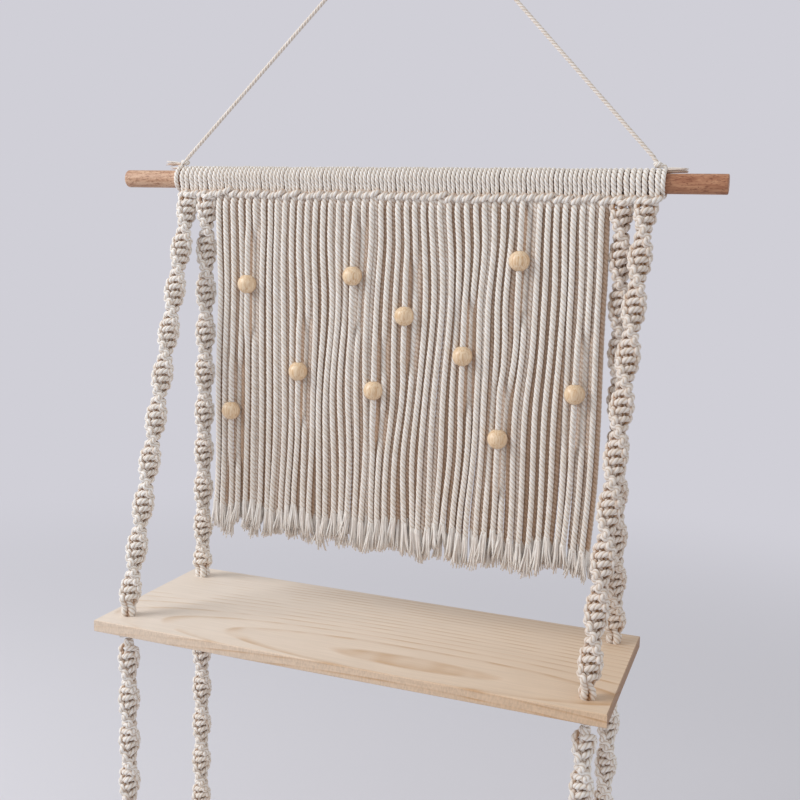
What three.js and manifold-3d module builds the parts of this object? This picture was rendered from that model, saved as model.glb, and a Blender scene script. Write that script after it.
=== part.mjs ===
import * as THREE from "three";
import { mergeVertices } from "three/addons/utils/BufferGeometryUtils.js";
import Module from "manifold-3d";

// A knotted cotton rope shelf with two pine boards under a beech dowel.
// Millimetres. X runs along the dowel, Y points to the wall and Z is up.
// The origin is where the hanging cord lies on its hook.

// Clearance between pieces that touch
const clearance = 0.3;

// Dowel
const dowelLength = 620;
const dowelDiameter = 18;
const dowelEdge = 1.2;

// Cords: the knotted cord, the same cord hanging free, and the thinner hanging cord
const cordDiameter = 5;
const strandDiameter = 5.4;
const hangerDiameter = 4;

// Hook above the dowel: how far it stands behind the dowel's axis and to the side of its middle
const hookHeight = 270;
const hookSetback = 25;
const hookShift = 4;
const hookDiameter = 12;

// Row of lark's head knots along the dowel: each knot is two loops wide
const fringePitch = 8.6;
const ropeKnotPitch = 11;
const rowShift = 7;
const loopsPerKnot = 2;
const knotsPerRope = 2;
const loopGroove = 1;
const fringeGroupCounts = [6, 4, 3, 4, 3, 3, 3, 4, 5, 4, 4, 4];

// Front bar of each knot, which lies under the front of the dowel
const barDiameter = 7.2;
const barGroove = 1.1;
const barAngle = 51;

// Fringe strands
const fringeLength = 348;
const strandBend = 14;
const strandFrontDepth = 14.5;
const strandRearDepth = 8.5;
const strandUneven = 5;

// Beads: the knot that each hangs from, its side step in knot widths and its drop in fringe lengths
const beadDiameter = 19.5;
const beadDepth = 17;
const beadKnotNumbers = [2, 4, 11, 18, 21, 24, 31, 36, 37, 44];
const beadSideShares = [0.09, 0.12, 0.09, -0.24, -0.23, 0.29, 0.35, -0.19, 0.33, 0.13];
const beadDropShares = [0.647, 0.265, 0.512, 0.228, 0.55, 0.333, 0.434, 0.655, 0.169, 0.515];

// Boards: the upper board's top lies this far under the dowel's axis, the lower board's under that
const boardLength = 510;
const boardDepth = 195;
const boardThickness = 12;
const boardChamfer = 0.8;
const boardForward = 43.5;
const shelfDrop = 441;
const tierDrop = 320;
const holeEndInset = 22;
const holeSideInset = 27;

// Twisted ropes of half knots: a flat band that turns half round in each ropeHalfTurn
const ropeWidth = 21;
const ropeThickness = 10.4;
const ropeHalfTurn = 44;
const ropeFootLength = 14;
const ropeEndDiameter = 10;

// Cords through a board's hole, and the knot that they tie under it
const throughDiameter = 12;
const stopperDiameter = 24;
const stopperHeight = 11;

// Tassel under each knot of the lower board
const tasselLength = 70;
const tasselSpread = 7;
const tasselStrands = 4;

// Knots that close the hanging cord's loops on the dowel, and how far the cord pulls each one inwards
const hangerKnotWidth = 11;
const hangerKnotHeight = 9;
const leftKnotLean = 1;
const rightKnotLean = 7;
const hangerTailLength = 24;
const hangerTailWidth = 7;
const hangerTailThickness = 3.2;

// Facets
const dowelSides = 24;
const rowSides = 8;
const barSides = 6;
const strandSides = 4;
const ropeSides = 6;
const ropeStepsPerHalfTurn = 4;
const knotSides = 12;
const beadSides = 10;
const beadRings = 4;
const ballAngles = [0, 35, 70];
const hangerSides = 8;
const hangerSteps = 58;
const holeSides = 16;
const loopSteps = 16;
const loopSides = 6;

const wasm = await Module();
wasm.setup();

const beech = finish("#c79a78", 0.55);
const pine = finish("#e2c8a6", 0.6);
const beadWood = finish("#e9d3a9", 0.5);
const cotton = finish("#e6dfd4", 0.95);

const dowelRadius = dowelDiameter / 2;
const rowRadius = dowelRadius + cordDiameter;
const rowBore = dowelRadius + clearance;
const rowBoreCorner = circumscribed(rowBore, rowSides);
const barRadius = barDiameter / 2;
const barReach = rowRadius + clearance + barRadius;
const barY = -barReach * Math.cos(THREE.MathUtils.degToRad(barAngle));
const barZ = -barReach * Math.sin(THREE.MathUtils.degToRad(barAngle));
const fringeKnots = fringeGroupCounts.reduce((sum, n) => sum + n, 0);
const fringeStart = rowShift - (fringeKnots * fringePitch) / 2;
const fringeEnd = fringeStart + fringeKnots * fringePitch;
const headWidth = knotsPerRope * ropeKnotPitch;

function finish(color, roughness) {
  return new THREE.MeshStandardMaterial({ color, roughness, metalness: 0 });
}

// The corner radius of a regular outline whose flats stand at the given radius.
function circumscribed(radius, sides) {
  return radius / Math.cos(Math.PI / sides);
}

// A solid from a closed geometry, with its shared vertices merged.
function solid(geometry) {
  const bare = geometry.clone();
  bare.deleteAttribute("normal");
  bare.deleteAttribute("uv");
  const merged = mergeVertices(bare);
  const vertProperties = new Float32Array(merged.attributes.position.array);
  const triVerts = new Uint32Array(merged.index.array);
  return new wasm.Manifold(new wasm.Mesh({ numProp: 3, vertProperties, triVerts }));
}

function geometryOf(shape) {
  const mesh = shape.getMesh();
  const geometry = new THREE.BufferGeometry();
  geometry.setAttribute("position", new THREE.BufferAttribute(mesh.vertProperties, 3));
  geometry.setIndex(new THREE.BufferAttribute(mesh.triVerts, 1));
  const flat = geometry.toNonIndexed();
  flat.computeVertexNormals();
  return flat;
}

function join(geometries) {
  const solids = geometries.map(solid);
  return geometryOf(solids.reduce((whole, piece) => whole.add(piece)));
}

function cut(geometry, tool) {
  return geometryOf(solid(geometry).subtract(solid(tool)));
}

function piece(name, geometry, material) {
  const mesh = new THREE.Mesh(geometry, material);
  mesh.name = name;
  return mesh;
}

// A closed skin through a stack of level rings, each with a centre, two half widths and a turn.
function loft(rings, sides) {
  const positions = [];
  for (const ring of rings) {
    for (let i = 0; i < sides; i++) {
      const angle = (i / sides) * 2 * Math.PI;
      const along = ring.wide * Math.cos(angle);
      const across = ring.thick * Math.sin(angle);
      const c = Math.cos(ring.turn ?? 0);
      const s = Math.sin(ring.turn ?? 0);
      positions.push(ring.x + along * c - across * s, ring.y + along * s + across * c, ring.z);
    }
  }
  const index = [];
  for (let r = 0; r + 1 < rings.length; r++) {
    for (let i = 0; i < sides; i++) {
      const a = r * sides + i;
      const b = r * sides + ((i + 1) % sides);
      index.push(a, a + sides, b, b, a + sides, b + sides);
    }
  }
  const last = (rings.length - 1) * sides;
  for (let i = 1; i + 1 < sides; i++) {
    index.push(0, i, i + 1);
    index.push(last, last + i + 1, last + i);
  }
  const geometry = new THREE.BufferGeometry();
  geometry.setAttribute("position", new THREE.Float32BufferAttribute(positions, 3));
  geometry.setIndex(index);
  return geometry;
}

// A profile of (radius, place along the axis) points turned about a line parallel to X.
function turnedAlongX(profile, sides) {
  const points = profile.map(([radius, x]) => new THREE.Vector2(radius, x));
  return new THREE.LatheGeometry(points, sides).rotateZ(-Math.PI / 2);
}

// The dowel, with its end edges eased.
function makeDowel() {
  const half = dowelLength / 2;
  const profile = [
    [0, -half],
    [dowelRadius - dowelEdge, -half],
    [dowelRadius, -half + dowelEdge],
    [dowelRadius, half - dowelEdge],
    [dowelRadius - dowelEdge, half],
    [0, half],
  ];
  return turnedAlongX(profile, dowelSides);
}

// Loops of cord side by side round the dowel: a sleeve with one rib for each loop.
function loopSleeve(start, end, loops) {
  const profile = [];
  const from = start + clearance / 2;
  const width = (end - start - clearance) / loops;
  for (let i = 0; i < loops; i++) {
    profile.push([rowRadius - loopGroove, from + i * width]);
    profile.push([rowRadius, from + (i + 0.5) * width]);
  }
  profile.push([rowRadius - loopGroove, from + loops * width]);
  profile.push([rowBoreCorner, from + loops * width]);
  profile.push([rowBoreCorner, from]);
  profile.push(profile[0]);
  return turnedAlongX(profile, rowSides);
}

// The front bars of neighbouring knots, which press together in one line.
function barLine(start, end, knots) {
  const from = start + clearance / 2;
  const width = (end - start - clearance) / knots;
  const profile = [[0, from]];
  for (let i = 0; i < knots; i++) {
    profile.push([barRadius - barGroove, from + i * width]);
    profile.push([barRadius, from + (i + 0.5) * width]);
  }
  profile.push([barRadius - barGroove, from + knots * width]);
  profile.push([0, from + knots * width]);
  return turnedAlongX(profile, barSides).translate(0, barY, barZ);
}

const beads = beadKnotNumbers.map((knot, i) => ({
  knot,
  x: fringeStart + (knot + 0.5 + beadSideShares[i]) * fringePitch,
  y: -beadDepth,
  z: barZ - beadDropShares[i] * fringeLength,
}));

// How far in front of the dowel a strand hangs: it gives way to the beads beside it.
function strandY(x, depth) {
  const reach = beadDiameter / 2 + strandDiameter / 2 + clearance;
  const pushed = beads
    .filter((bead) => Math.abs(bead.x - x) < reach)
    .map((bead) => bead.y + Math.sqrt(reach ** 2 - (bead.x - x) ** 2));
  return Math.max(-depth, ...pushed);
}

function strand(x, y, length) {
  const radius = strandDiameter / 2;
  const ring = (place, z) => ({ x, y: place, z, wide: radius, thick: radius });
  return loft([ring(barY, barZ), ring(y, barZ - strandBend), ring(y, barZ - length)], strandSides);
}

// The two strands of one knot: the front one carries a bead where the knot has one.
function knotStrands(knot) {
  const middle = fringeStart + (knot + 0.5) * fringePitch;
  const side = (fringePitch - strandDiameter - clearance) / 2;
  const bead = beads.find((one) => one.knot === knot);
  const frontX = bead ? bead.x : middle - side;
  const frontY = bead ? bead.y : strandY(frontX, strandFrontDepth);
  const rearX = middle + side;
  const lengths = [Math.sin(knot), Math.cos(knot * knot)].map((wave) => fringeLength + wave * strandUneven);
  return [strand(frontX, frontY, lengths[0]), strand(rearX, strandY(rearX, strandRearDepth), lengths[1])];
}

function makeFringe() {
  const meshes = [];
  let first = 0;
  fringeGroupCounts.forEach((count, group) => {
    const start = fringeStart + first * fringePitch;
    const parts = [barLine(start, start + count * fringePitch, count)];
    for (let knot = first; knot < first + count; knot++) {
      parts.push(...knotStrands(knot));
    }
    meshes.push(piece("fringe_" + String(group + 1).padStart(2, "0"), join(parts), cotton));
    first += count;
  });
  return meshes;
}

function makeBead(bead) {
  const radius = beadDiameter / 2;
  const bore = circumscribed(strandDiameter / 2 + clearance, beadSides);
  const rise = Math.asin(bore / radius);
  const profile = [];
  for (let i = 0; i <= beadRings; i++) {
    const angle = rise + (i / beadRings) * (Math.PI - 2 * rise);
    profile.push(new THREE.Vector2(radius * Math.sin(angle), -radius * Math.cos(angle)));
  }
  profile.push(profile[0].clone());
  const geometry = new THREE.LatheGeometry(profile, beadSides).rotateX(Math.PI / 2);
  return geometry.translate(bead.x, bead.y, bead.z);
}

// One rope's band from its top to its foot, level rings that turn as they go down.
function ropeRings(top, foot, startTurn) {
  const length = top.z - foot.z;
  const halfTurns = Math.round(length / ropeHalfTurn);
  const steps = halfTurns * ropeStepsPerHalfTurn;
  const rings = [];
  for (let i = 0; i <= steps; i++) {
    const t = i / steps;
    rings.push({
      x: THREE.MathUtils.lerp(top.x, foot.x, t),
      y: THREE.MathUtils.lerp(top.y, foot.y, t),
      z: THREE.MathUtils.lerp(top.z, foot.z, t),
      wide: ropeWidth / 2,
      thick: ropeThickness / 2,
      turn: startTurn + t * halfTurns * Math.PI,
    });
  }
  return rings;
}

function roundRing(x, y, z, diameter) {
  return { x, y, z, wide: diameter / 2, thick: diameter / 2 };
}

// The foot, where four cords gather over a board's hole.
function footRings(x, y, boardTop, turn) {
  const end = boardTop + clearance;
  return [
    { ...roundRing(x, y, end + ropeFootLength / 2, throughDiameter), turn },
    { ...roundRing(x, y, end, throughDiameter), turn },
  ];
}

// A hole's place on either board, seen from the dowel's axis.
function holeAt(side, row) {
  return {
    x: side * (boardLength / 2 - holeEndInset),
    y: -boardForward + row * (boardDepth / 2 - holeSideInset),
  };
}

// An upper rope: its two knots go round the dowel, and its band runs down to the upper board.
function upperRope(side, row, head) {
  const hole = holeAt(side, row);
  const middle = (head.start + head.end) / 2;
  const foot = { x: hole.x, y: hole.y, z: -shelfDrop + clearance + ropeFootLength };
  const band = ropeRings({ x: middle, y: barY, z: barZ }, foot, 0);
  const turn = band[band.length - 1].turn;
  const rings = [...band, ...footRings(hole.x, hole.y, -shelfDrop, turn)];
  return join([
    loopSleeve(head.start, head.end, knotsPerRope * loopsPerKnot),
    barLine(head.start, head.end, knotsPerRope),
    loft(rings, ropeSides),
    headLink(head),
  ]);
}

// The cord ends that come out of the sleeve's underside and into the bars.
function headLink(head) {
  const width = head.end - head.start - clearance;
  const middle = (head.start + head.end) / 2;
  const depth = barReach - rowBore - loopGroove;
  const link = new THREE.BoxGeometry(width, depth, barDiameter - 2 * barGroove);
  link.translate(0, -(rowBore + loopGroove + depth / 2), 0);
  return link.rotateX(THREE.MathUtils.degToRad(barAngle)).translate(middle, 0, 0);
}

// Half a ball's level rings, from its equator to a small flat at its pole.
function ballRings(centre, pole) {
  const radius = ropeEndDiameter / 2;
  return ballAngles.map((degrees) => {
    const angle = THREE.MathUtils.degToRad(degrees);
    const z = centre.z + pole * radius * Math.sin(angle);
    return roundRing(centre.x, centre.y, z, ropeEndDiameter * Math.cos(angle));
  });
}

// A lower rope turns on a ball end under the knot above it and on another over its board's hole.
function lowerRope(side, row) {
  const hole = holeAt(side, row);
  const radius = ropeEndDiameter / 2;
  const knotBottom = -shelfDrop - boardThickness - clearance - stopperHeight;
  const top = { ...hole, z: knotBottom - clearance - radius };
  const foot = { ...hole, z: -shelfDrop - tierDrop + clearance + radius };
  const bandTop = { ...hole, z: top.z - radius };
  const bandFoot = { ...hole, z: foot.z + radius };
  const band = ropeRings(bandTop, bandFoot, 0);
  return loft([...ballRings(top, 1).reverse(), ...band, ...ballRings(foot, -1)], ropeSides);
}

// Four cords through a board's hole, and the knot that they tie under it.
function makeStopper(side, row, boardTop) {
  const hole = holeAt(side, row);
  const through = throughDiameter / 2;
  const under = -boardThickness - clearance;
  const bottom = under - stopperHeight;
  const radius = stopperDiameter / 2;
  const profile = [
    [0, bottom],
    [radius / 2, bottom],
    [radius, under - stopperHeight * 0.6],
    [radius, under - stopperHeight * 0.25],
    [radius - loopGroove, under],
    [through, under],
    [through, 0],
    [0, 0],
  ].map(([r, z]) => new THREE.Vector2(r, z));
  const knot = new THREE.LatheGeometry(profile, knotSides).rotateX(Math.PI / 2);
  return knot.translate(hole.x, hole.y, boardTop);
}

// A board with its edges eased and a hole near each corner.
function makeBoard(boardTop) {
  const halfLength = boardLength / 2 - boardChamfer;
  const halfDepth = boardDepth / 2 - boardChamfer;
  const outline = new THREE.Shape([
    new THREE.Vector2(-halfLength, -halfDepth),
    new THREE.Vector2(halfLength, -halfDepth),
    new THREE.Vector2(halfLength, halfDepth),
    new THREE.Vector2(-halfLength, halfDepth),
  ]);
  const slab = new THREE.ExtrudeGeometry(outline, {
    depth: boardThickness - 2 * boardChamfer,
    bevelThickness: boardChamfer,
    bevelSize: boardChamfer,
    bevelSegments: 1,
    steps: 1,
  });
  slab.translate(0, -boardForward, boardTop - boardThickness + boardChamfer);
  const radius = circumscribed(throughDiameter / 2 + clearance, holeSides);
  const tools = [-1, 1].flatMap((side) =>
    [-1, 1].map((row) => {
      const hole = holeAt(side, row);
      const drill = new THREE.CylinderGeometry(radius, radius, 2 * boardThickness, holeSides);
      return drill.rotateX(Math.PI / 2).translate(hole.x, hole.y, boardTop - boardThickness / 2);
    }),
  );
  return tools.reduce((plank, tool) => cut(plank, tool), slab);
}

// Four short strands that hang from a lower knot and spread a little.
function makeTassel(side, row) {
  const hole = holeAt(side, row);
  const top = -shelfDrop - tierDrop - boardThickness - 2 * clearance - stopperHeight;
  const radius = strandDiameter / 2;
  const strands = [];
  for (let i = 0; i < tasselStrands; i++) {
    const angle = ((i + 0.5) / tasselStrands) * 2 * Math.PI;
    const ring = (out, z, r) => ({
      x: hole.x + out * Math.cos(angle),
      y: hole.y + out * Math.sin(angle),
      z,
      wide: r,
      thick: r,
    });
    strands.push(
      loft([ring(radius, top, radius), ring(tasselSpread, top - tasselLength, radius)], strandSides),
    );
  }
  return join(strands);
}

// Where the hanging cord's loops lie: just outside the knots of the front ropes.
const ringOffset = clearance / 2 + hangerDiameter / 2;
const leftRing = fringeStart - 2 * headWidth - ringOffset;
const rightRing = fringeEnd + 2 * headWidth + ringOffset;
const hangerKnotZ = rowRadius + clearance + hangerKnotHeight / 2;
const leftKnot = new THREE.Vector3(leftRing + leftKnotLean, 0, hangerKnotZ);
const rightKnot = new THREE.Vector3(rightRing - rightKnotLean, 0, hangerKnotZ);

// A length of cord with round ends between two places.
function shortCord(from, to) {
  const ball = wasm.Manifold.sphere(hangerDiameter / 2, loopSides);
  return geometryOf(wasm.Manifold.hull([from, to].map((place) => ball.translate(place.toArray()))));
}

// A loop round the dowel, the knot that closes it on top, and the frayed tail beside the loop.
function makeHangerKnot(ringX, place, side) {
  const radius = hangerDiameter / 2;
  const ringRadius = circumscribed(rowBore, loopSteps) + radius;
  const ring = new THREE.TorusGeometry(ringRadius, radius, loopSides, loopSteps);
  ring.rotateY(Math.PI / 2).translate(ringX, 0, 0);
  const knot = new THREE.IcosahedronGeometry(1, 1);
  knot.scale(hangerKnotWidth / 2, hangerKnotHeight / 2, hangerKnotHeight / 2);
  knot.translate(...place);
  const rings = [0, 0.5, 1].map((t) => ({
    x: 0,
    y: 0,
    z: t * hangerTailLength,
    wide: THREE.MathUtils.lerp(hangerDiameter, hangerTailWidth, t) / 2,
    thick: hangerTailThickness / 2,
  }));
  const tail = loft(rings.reverse(), loopSides).rotateZ(Math.PI / 2).rotateY((side * Math.PI) / 2);
  tail.translate(ringX, 0, rowRadius + clearance + hangerTailThickness / 2);
  const bend = new THREE.Vector3(ringX, 0, hangerKnotZ);
  const neck = shortCord(new THREE.Vector3(ringX, 0, ringRadius), bend);
  return join([ring, knot, tail, neck, shortCord(bend, place)]);
}

// The hanging cord: straight up from one knot, over the hook and down to the other.
function hangerRoute() {
  const radius = (hookDiameter + hangerDiameter) / 2;
  const centre = new THREE.Vector3(hookShift, hookSetback, hookHeight - hookDiameter / 2);
  const ends = [leftKnot, rightKnot].map((knot) => {
    const up = centre.clone().sub(knot).normalize();
    const out = new THREE.Vector3(-Math.sign(up.x) * up.z, 0, Math.abs(up.x)).normalize();
    return {
      start: knot.clone().addScaledVector(up, hangerKnotWidth / 2 + clearance),
      meet: centre.clone().addScaledVector(out, radius),
    };
  });
  const over = ends[0].meet.clone().add(ends[1].meet).multiplyScalar(0.5);
  over.z = 2 * (centre.z + radius) - over.z;
  const route = new THREE.CurvePath();
  route.add(new THREE.LineCurve3(ends[0].start, ends[0].meet));
  route.add(new THREE.QuadraticBezierCurve3(ends[0].meet, over, ends[1].meet));
  route.add(new THREE.LineCurve3(ends[1].meet, ends[1].start));
  return route;
}

function makeHangingCord() {
  const radius = hangerDiameter / 2;
  const corners = [];
  for (let i = 0; i < hangerSides; i++) {
    const angle = (i / hangerSides) * 2 * Math.PI;
    corners.push(new THREE.Vector2(radius * Math.cos(angle), radius * Math.sin(angle)));
  }
  const section = new THREE.Shape(corners);
  const options = { steps: hangerSteps, extrudePath: hangerRoute(), bevelEnabled: false };
  return new THREE.ExtrudeGeometry(section, options);
}

const corners = [
  { name: "front_left", side: -1, row: -1 },
  { name: "rear_left", side: -1, row: 1 },
  { name: "rear_right", side: 1, row: 1 },
  { name: "front_right", side: 1, row: -1 },
];

// The rear rope's knots lie next to the fringe, and the front rope's outside them.
function headOf({ side, row }) {
  const inner = row > 0 ? 0 : headWidth;
  if (side < 0) return { start: fringeStart - inner - headWidth, end: fringeStart - inner };
  return { start: fringeEnd + inner, end: fringeEnd + inner + headWidth };
}

const shelf = new THREE.Group();
shelf.add(piece("dowel", makeDowel(), beech));
shelf.add(piece("hanging_cord", makeHangingCord(), cotton));
shelf.add(piece("hanger_knot_left", makeHangerKnot(leftRing, leftKnot, -1), cotton));
shelf.add(piece("hanger_knot_right", makeHangerKnot(rightRing, rightKnot, 1), cotton));
shelf.add(piece("fringe_knot_row", loopSleeve(fringeStart, fringeEnd, fringeKnots * loopsPerKnot), cotton));
shelf.add(...makeFringe());
beads.forEach((bead, i) => {
  shelf.add(piece("bead_" + String(i + 1).padStart(2, "0"), makeBead(bead), beadWood));
});
shelf.add(piece("upper_board", makeBoard(-shelfDrop), pine));
shelf.add(piece("lower_board", makeBoard(-shelfDrop - tierDrop), pine));
for (const corner of corners) {
  const { name, side, row } = corner;
  shelf.add(piece("upper_rope_" + name, upperRope(side, row, headOf(corner)), cotton));
  shelf.add(piece("upper_knot_" + name, makeStopper(side, row, -shelfDrop), cotton));
  shelf.add(piece("lower_rope_" + name, lowerRope(side, row), cotton));
  shelf.add(piece("lower_knot_" + name, makeStopper(side, row, -shelfDrop - tierDrop), cotton));
  shelf.add(piece("tassel_" + name, makeTassel(side, row), cotton));
}
shelf.position.set(-hookShift, -hookSetback, -hookHeight);

export default shelf;
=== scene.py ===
# A knotted cotton rope shelf: two pine boards on twisted ropes under a beech dowel, with a fringe and wooden beads.
# Shapes are worked out in millimetres from the middle of the dowel's axis (X along it, Y to the wall, Z up).
import math

import bpy
import numpy as np
from mathutils import Matrix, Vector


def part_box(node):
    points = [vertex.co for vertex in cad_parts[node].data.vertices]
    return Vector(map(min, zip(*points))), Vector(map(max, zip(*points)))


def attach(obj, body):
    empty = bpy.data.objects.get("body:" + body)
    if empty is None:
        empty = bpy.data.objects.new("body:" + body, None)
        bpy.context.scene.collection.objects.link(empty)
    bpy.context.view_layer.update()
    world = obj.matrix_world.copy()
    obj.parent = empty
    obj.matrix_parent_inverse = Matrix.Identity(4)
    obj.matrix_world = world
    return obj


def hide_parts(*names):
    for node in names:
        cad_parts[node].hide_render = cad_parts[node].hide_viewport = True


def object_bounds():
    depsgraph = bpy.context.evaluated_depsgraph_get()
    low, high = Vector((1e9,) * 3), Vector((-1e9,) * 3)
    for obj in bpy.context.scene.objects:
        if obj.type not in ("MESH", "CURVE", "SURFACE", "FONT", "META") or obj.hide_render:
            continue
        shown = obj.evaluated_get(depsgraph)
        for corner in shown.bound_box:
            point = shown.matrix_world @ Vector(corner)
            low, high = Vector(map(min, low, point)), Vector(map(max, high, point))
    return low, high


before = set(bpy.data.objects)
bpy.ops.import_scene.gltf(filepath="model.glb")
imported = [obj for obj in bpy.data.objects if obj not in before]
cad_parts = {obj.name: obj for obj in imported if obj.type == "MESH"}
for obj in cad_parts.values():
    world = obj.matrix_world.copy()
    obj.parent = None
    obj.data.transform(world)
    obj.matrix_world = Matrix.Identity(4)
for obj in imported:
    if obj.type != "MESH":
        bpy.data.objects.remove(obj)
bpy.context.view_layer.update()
print("frame loaded:", len(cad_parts), "nodes")

dowelLow, dowelHigh = (np.array(corner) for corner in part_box("dowel"))
dowelAxis = (dowelLow + dowelHigh) / 2  # the middle of the dowel, in metres
clearance = 0.3  # mm between a rope and its board


def placed(points):  # from millimetres round the dowel's middle to metres in the frame
    return np.asarray(points, float) / 1000 + dowelAxis


def middleOf(node):  # the middle of a CAD node's box, in millimetres from the dowel's middle
    low, high = (np.array(corner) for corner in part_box(node))
    return ((low + high) / 2 - dowelAxis) * 1000


def topOf(node):  # the height of a CAD node's upper end, in the same millimetres
    return (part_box(node)[1][2] - dowelAxis[2]) * 1000


def footOf(node):  # and of its lower end
    return (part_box(node)[0][2] - dowelAxis[2]) * 1000


def facingMatrix(right, up, back, place):  # a camera or a lamp looks the other way from back
    matrix = np.eye(4)
    matrix[:3] = np.stack([right, up, back, place], axis=-1)
    return Matrix(matrix.tolist())


# The camera stands where the photograph was taken from
camera = {
    "place": (0.3660, -0.9896, -0.3344),
    "right": (0.9347, 0.3538, 0.0328),
    "up": (-0.0817, 0.1241, 0.9889),
    "lens": 46.67, "sensor": 36,  # mm
}
cameraData = bpy.data.cameras.new("camera")
cameraData.lens = camera["lens"]
cameraData.sensor_width = camera["sensor"]
cameraObject = bpy.data.objects.new("camera", cameraData)
cameraBack = np.cross(camera["right"], camera["up"])
cameraObject.matrix_world = facingMatrix(camera["right"], camera["up"], cameraBack, camera["place"])
bpy.context.scene.collection.objects.link(cameraObject)
bpy.context.scene.camera = cameraObject


def unit(v):  # each vector divided by its own length
    return v / np.linalg.norm(v, axis=-1, keepdims=True)


def smoothStep(low, high, x):
    # 3 t^2 - 2 t^3, with t the share of the way from low to high: from 0 to 1, level at both ends
    t = np.clip((x - low) / (high - low), 0, 1)
    return t * t * (3 - 2 * t)


def smoothLine(points, step):
    # A cubic curve through the points, as steep at each as from the one before it to the one after, worked out finely
    # and then cut into stations the same way apart
    perSpan = 12
    p = np.asarray(points, float)
    p = np.vstack([2 * p[0] - p[1], p, 2 * p[-1] - p[-2]])
    t = np.linspace(0, len(p) - 3, (len(p) - 3) * perSpan + 1)
    i = np.minimum(t.astype(int), len(p) - 4)
    f = (t - i)[:, None]
    a, b, c, d = p[i], p[i + 1], p[i + 2], p[i + 3]
    fine = 0.5 * (2 * b + (c - a) * f + (2 * a - 5 * b + 4 * c - d) * f**2 + (3 * b - a - 3 * c + d) * f**3)
    along = np.concatenate([[0], np.cumsum(np.linalg.norm(np.diff(fine, axis=0), axis=1))])
    at = np.linspace(0, along[-1], max(4, int(round(along[-1] / step)) + 1))
    return np.stack([np.interp(at, along, fine[:, k]) for k in range(3)], axis=-1)


def carriedAcross(paths):
    # Two directions across each path, carried from station to station without turning about it
    tangent = unit(np.gradient(paths, axis=1))
    reference = np.where(np.abs(tangent[:, :1, 0:1]) < 0.8, [1.0, 0, 0], [0, 1.0, 0])[:, 0]
    normal = np.empty_like(paths)
    for i in range(paths.shape[1]):
        t = tangent[:, i]
        reference = unit(reference - (reference * t).sum(-1, keepdims=True) * t)
        normal[:, i] = reference
    return normal, np.cross(tangent, normal)


def tubeFaces(rings, columns, tubes):
    # Quads between neighbouring rings, and one face over each end
    r = np.arange(rings - 1)[:, None] * columns
    c = np.arange(columns)[None, :]
    n = (c + 1) % columns
    quads = np.stack([r + c, r + n, r + columns + n, r + columns + c], axis=-1).reshape(-1, 4)
    ends = np.stack([np.arange(columns)[::-1], (rings - 1) * columns + np.arange(columns)])
    shift = (np.arange(tubes) * rings * columns)[:, None, None]
    return [(quads[None] + shift).reshape(-1, 4), (ends[None] + shift).reshape(-1, columns)]


def lobedProfile(lobes, perLobe, core):
    # Radii of a rope's section: each strand's arc has its centre at core, and neighbours meet in a groove
    angle = np.arange(lobes * perLobe) / perLobe * 2 * np.pi / lobes
    near = (angle + np.pi / lobes) % (2 * np.pi / lobes) - np.pi / lobes
    return core * np.cos(near) + np.sqrt((1 - core) ** 2 - (core * np.sin(near)) ** 2)


# Rope of three strands laid to the left, one turn in each lead
rope = {
    "lead": 13.5, "lobes": 3, "perLobe": 4, "core": 0.3, "yarnSides": 5,
    "hollow": 0.72, "hollowFacing": (0.3, -0.55),  # how much painted shade a knot's inner side gets, and where that starts
    "patternShift": 40.0,  # mm from one tube's fibres to the next one's, so that no two look alike
}
ropeProfile = lobedProfile(rope["lobes"], rope["perLobe"], rope["core"])


def sweep(paths, radii, profile, twist, tone, flatten=(1, 1, 1), phase=0.0, heart=None):
    # A profile of radii round the path, which turns by twist (radians) for each millimetre.
    # heart gives the middle of the knot beside each place on the path, and the side that faces it gets painted shade.
    paths = np.asarray(paths, float)
    if paths.ndim == 2:
        paths = paths[None]
    tubes, rings = paths.shape[:2]
    columns = len(profile)
    normal, across = carriedAcross(paths)
    steps = np.linalg.norm(np.diff(paths, axis=1), axis=2)
    length = np.concatenate([np.zeros((tubes, 1)), np.cumsum(steps, axis=1)], axis=1)
    own = np.arange(columns) / columns * 2 * np.pi
    angle = own + (twist * length + np.reshape(phase, (-1, 1)))[..., None]
    reach = np.broadcast_to(radii, (tubes, rings))[..., None] * profile
    offset = np.cos(angle)[..., None] * normal[:, :, None] + np.sin(angle)[..., None] * across[:, :, None]
    points = paths[:, :, None] + reach[..., None] * offset * np.array(flatten)
    along = length[..., None] + rope["patternShift"] * np.arange(tubes)[:, None, None]
    fibre = np.stack(np.broadcast_arrays(np.cos(own) * reach, np.sin(own) * reach, along), axis=-1)
    # groove: 0 on a strand's crest to 1 where two strands meet; the material paints shade there
    depth = np.broadcast_to((profile.max() - profile) / max(np.ptp(profile), 1e-6), reach.shape)
    shade = np.broadcast_to(np.reshape(tone, (-1, 1, 1)), reach.shape)
    # Painted shade on the side that faces the knot's middle
    if heart is not None:
        outward = unit(paths - heart(paths) + 1e-6)
        facing = (offset * outward[:, :, None]).sum(-1)
        shade = np.clip(shade + rope["hollow"] * smoothStep(*rope["hollowFacing"], facing), 0, 1)
    return {
        "points": points.reshape(-1, 3),
        "faces": tubeFaces(rings, columns, tubes),
        "fibre": fibre.reshape(-1, 3),
        "groove": depth.reshape(-1),
        "tone": shade.reshape(-1),
    }


def ropeTube(paths, radii, tone=0.0, flatten=(1, 1, 1), phase=0.0, lead=None, heart=None):
    # The strands' section, turned left once in each lead
    return sweep(paths, radii, ropeProfile, -2 * np.pi / (lead or rope["lead"]), tone, flatten, phase, heart)


def yarnTube(paths, radii, tone):  # a plain round section
    return sweep(paths, radii, np.ones(rope["yarnSides"]), 0.0, tone)


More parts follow.
